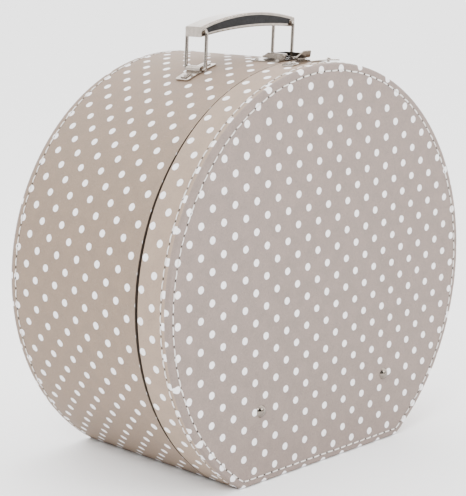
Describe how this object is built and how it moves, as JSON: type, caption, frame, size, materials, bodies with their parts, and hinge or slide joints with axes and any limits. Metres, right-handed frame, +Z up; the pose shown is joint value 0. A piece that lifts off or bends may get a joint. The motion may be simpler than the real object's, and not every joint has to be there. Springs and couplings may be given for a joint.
{
  "type": "hat box",
  "caption": "Round dotted hat box with a flat base, a shallow front lid hinged at the base, a draw latch and a folding carry handle.",
  "frame": {"origin": "middle of the flat base of the closed case", "axes": "+X right seen from the front, +Y towards the back panel, +Z up"},
  "size_m": [0.34, 0.1778, 0.3471],
  "materials": {
    "covered_board": "textured paper covering with white dots, matt",
    "lip_board": "matt black paper",
    "lining_cloth": "plain woven lining",
    "strap_elastic": "ribbed elastic",
    "nickel": "bright nickel plate",
    "hinge_steel": "plated steel sheet",
    "inset_black": "grained black"
  },
  "bodies": {
    "case_body": {"body_wall": "covered_board", "back_panel": "covered_board", "inner_lip": "lip_board", "body_lining": "lining_cloth", "hinge_leaf_body_left": "hinge_steel", "hinge_leaf_body_right": "hinge_steel", "hinge_pin_left": "hinge_steel", "hinge_pin_right": "hinge_steel", "hinge_rivets_body": "hinge_steel", "handle_plate_left": "nickel", "handle_plate_right": "nickel", "handle_rivets": "nickel", "latch_base_plate": "nickel", "latch_base_rivets": "nickel", "latch_pins": "nickel"},
    "lid": {"lid_wall": "covered_board", "front_panel": "covered_board", "lid_lining": "lining_cloth", "hinge_leaf_lid_left": "hinge_steel", "hinge_leaf_lid_right": "hinge_steel", "hinge_rivets_lid": "hinge_steel", "face_rivets": "nickel", "face_rivet_washers": "nickel", "lid_strap": "strap_elastic", "latch_catch_plate": "nickel", "latch_catch_rivets": "nickel"},
    "loop_left": {"handle_loop_left": "nickel"},
    "loop_right": {"handle_loop_right": "nickel"},
    "grip": {"handle_grip": "nickel", "grip_inset_front": "inset_black", "grip_inset_back": "inset_black", "grip_eyelets": "nickel"},
    "lever": {"latch_lever": "nickel"},
    "link": {"latch_link": "nickel"}
  },
  "joints": [
    {"name": "lid_hinge", "type": "hinge", "parent": "case_body", "child": "lid", "pos_m": [0, -0.0547, 0.00145], "axis": [1, 0, 0], "range_deg": [0, 98]},
    {"name": "handle_loop_left_hinge", "type": "hinge", "parent": "case_body", "child": "loop_left", "pos_m": [-0.05592, 0.001, 0.30507], "axis": [0, 1, 0], "range_deg": [-64, 54]},
    {"name": "handle_grip_hinge", "type": "hinge", "parent": "loop_left", "child": "grip", "pos_m": [-0.05439, 0.001, 0.33373], "axis": [0, 1, 0], "range_deg": [-54, 64]},
    {"name": "handle_loop_right_hinge", "type": "hinge", "parent": "case_body", "child": "loop_right", "pos_m": [0.04181, 0.001, 0.30925], "axis": [0, 1, 0], "range_deg": [-64, 54]},
    {"name": "latch_lever_hinge", "type": "hinge", "parent": "case_body", "child": "lever", "pos_m": [0, -0.0485, 0.3151], "axis": [1, 0, 0], "range_deg": [0, 100]},
    {"name": "latch_link_hinge", "type": "hinge", "parent": "lever", "child": "link", "pos_m": [0, -0.0366, 0.3151], "axis": [1, 0, 0], "range_deg": [-100, 0]}
  ],
  "couplings": [
    {"joint": "handle_grip_hinge", "follows": "handle_loop_left_hinge", "ratio": -1},
    {"joint": "handle_loop_right_hinge", "follows": "handle_loop_left_hinge", "ratio": 1},
    {"joint": "latch_link_hinge", "follows": "latch_lever_hinge", "ratio": -1}
  ]
}
